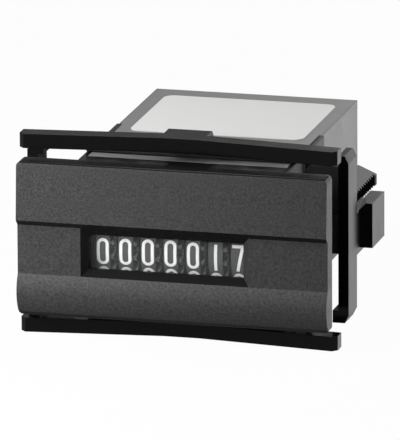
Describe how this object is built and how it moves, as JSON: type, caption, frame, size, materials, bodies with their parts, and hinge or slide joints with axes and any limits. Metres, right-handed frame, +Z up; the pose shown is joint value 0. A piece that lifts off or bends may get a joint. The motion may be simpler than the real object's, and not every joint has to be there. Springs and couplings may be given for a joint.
{
  "type": "panel counter",
  "caption": "Electromechanical panel counter: grained dark bezel with a lens window over digit drums, grey case, pulse magnet and a black sliding spring mounting frame.",
  "frame": {"origin": "centre of the bezel's rear face, where the front face of the panel is", "axes": "front faces -Y, the case runs back along +Y through the panel, +X right seen from the front, +Z up"},
  "size_m": [0.0538, 0.0607, 0.0308],
  "materials": {
    "bezel_plastic": "fine moulded grain",
    "lens": "clear",
    "case_plastic": "fine satin",
    "label": "smooth, bare",
    "frame_plastic": "glossy",
    "drum_plastic": "smooth, printed digits",
    "digit_ink": "printed white ink",
    "gear_plastic": "natural",
    "shaft_steel": "drawn",
    "mechanism_plastic": "natural",
    "winding": "enamelled copper wire",
    "magnet_steel": "plated",
    "terminal": "tinned"
  },
  "bodies": {
    "case": {"front_bezel": "bezel_plastic", "window_lens": "lens", "case_cup": "case_plastic", "label_plate": "label", "drum_shaft": "shaft_steel", "pinion_shaft": "shaft_steel", "mechanism_frame": "mechanism_plastic", "coil_bobbin": "mechanism_plastic", "coil_winding": "winding", "coil_core": "magnet_steel", "magnet_yoke": "magnet_steel", "armature_pin": "shaft_steel", "return_spring": "shaft_steel", "terminal_left": "terminal", "terminal_right": "terminal"},
    "mounting_frame": {"mounting_frame": "frame_plastic"},
    "armature": {"armature": "magnet_steel", "pallet_lever": "gear_plastic"},
    "drum_1": {"digit_drum_1": "drum_plastic"},
    "drum_2": {"digit_drum_2": "drum_plastic"},
    "drum_3": {"digit_drum_3": "drum_plastic"},
    "drum_4": {"digit_drum_4": "drum_plastic"},
    "drum_5": {"digit_drum_5": "drum_plastic"},
    "drum_6": {"digit_drum_6": "drum_plastic"},
    "drum_7": {"digit_drum_7": "drum_plastic"},
    "pinion_1": {"transfer_pinion_1": "gear_plastic"},
    "pinion_2": {"transfer_pinion_2": "gear_plastic"},
    "pinion_3": {"transfer_pinion_3": "gear_plastic"},
    "pinion_4": {"transfer_pinion_4": "gear_plastic"},
    "pinion_5": {"transfer_pinion_5": "gear_plastic"},
    "pinion_6": {"transfer_pinion_6": "gear_plastic"}
  },
  "joints": [
    {"name": "frame_slide", "type": "slide", "parent": "case", "child": "mounting_frame", "axis": [0, 1, 0], "range_m": [0, 0.028]},
    {"name": "armature_hinge", "type": "hinge", "parent": "case", "child": "armature", "pos_m": [0, 0.02663, 0.00625], "axis": [1, 0, 0], "range_deg": [0, 3], "stiffness_Nm_per_rad": 0.004, "springref_deg": -5.73},
    {"name": "drum_1_spin", "type": "hinge", "parent": "case", "child": "drum_1", "pos_m": [-0.0116, 0.0076, -0.0019], "axis": [1, 0, 0], "continuous": true},
    {"name": "drum_2_spin", "type": "hinge", "parent": "case", "child": "drum_2", "pos_m": [-0.0081, 0.0076, -0.0019], "axis": [1, 0, 0], "continuous": true},
    {"name": "drum_3_spin", "type": "hinge", "parent": "case", "child": "drum_3", "pos_m": [-0.0046, 0.0076, -0.0019], "axis": [1, 0, 0], "continuous": true},
    {"name": "drum_4_spin", "type": "hinge", "parent": "case", "child": "drum_4", "pos_m": [-0.0011, 0.0076, -0.0019], "axis": [1, 0, 0], "continuous": true},
    {"name": "drum_5_spin", "type": "hinge", "parent": "case", "child": "drum_5", "pos_m": [0.0024, 0.0076, -0.0019], "axis": [1, 0, 0], "continuous": true},
    {"name": "drum_6_spin", "type": "hinge", "parent": "case", "child": "drum_6", "pos_m": [0.0059, 0.0076, -0.0019], "axis": [1, 0, 0], "continuous": true},
    {"name": "drum_7_spin", "type": "hinge", "parent": "case", "child": "drum_7", "pos_m": [0.0094, 0.0076, -0.0019], "axis": [1, 0, 0], "continuous": true},
    {"name": "pinion_1_spin", "type": "hinge", "parent": "case", "child": "pinion_1", "pos_m": [-0.0099, 0.01676, -0.0019], "axis": [1, 0, 0], "continuous": true},
    {"name": "pinion_2_spin", "type": "hinge", "parent": "case", "child": "pinion_2", "pos_m": [-0.0064, 0.01676, -0.0019], "axis": [1, 0, 0], "continuous": true},
    {"name": "pinion_3_spin", "type": "hinge", "parent": "case", "child": "pinion_3", "pos_m": [-0.0029, 0.01676, -0.0019], "axis": [1, 0, 0], "continuous": true},
    {"name": "pinion_4_spin", "type": "hinge", "parent": "case", "child": "pinion_4", "pos_m": [0.0006, 0.01676, -0.0019], "axis": [1, 0, 0], "continuous": true},
    {"name": "pinion_5_spin", "type": "hinge", "parent": "case", "child": "pinion_5", "pos_m": [0.0041, 0.01676, -0.0019], "axis": [1, 0, 0], "continuous": true},
    {"name": "pinion_6_spin", "type": "hinge", "parent": "case", "child": "pinion_6", "pos_m": [0.0076, 0.01676, -0.0019], "axis": [1, 0, 0], "continuous": true}
  ],
  "couplings": [
    {"joint": "pinion_1_spin", "follows": "drum_1_spin", "ratio": -2.5},
    {"joint": "pinion_2_spin", "follows": "drum_2_spin", "ratio": -2.5},
    {"joint": "pinion_3_spin", "follows": "drum_3_spin", "ratio": -2.5},
    {"joint": "pinion_4_spin", "follows": "drum_4_spin", "ratio": -2.5},
    {"joint": "pinion_5_spin", "follows": "drum_5_spin", "ratio": -2.5},
    {"joint": "pinion_6_spin", "follows": "drum_6_spin", "ratio": -2.5}
  ]
}
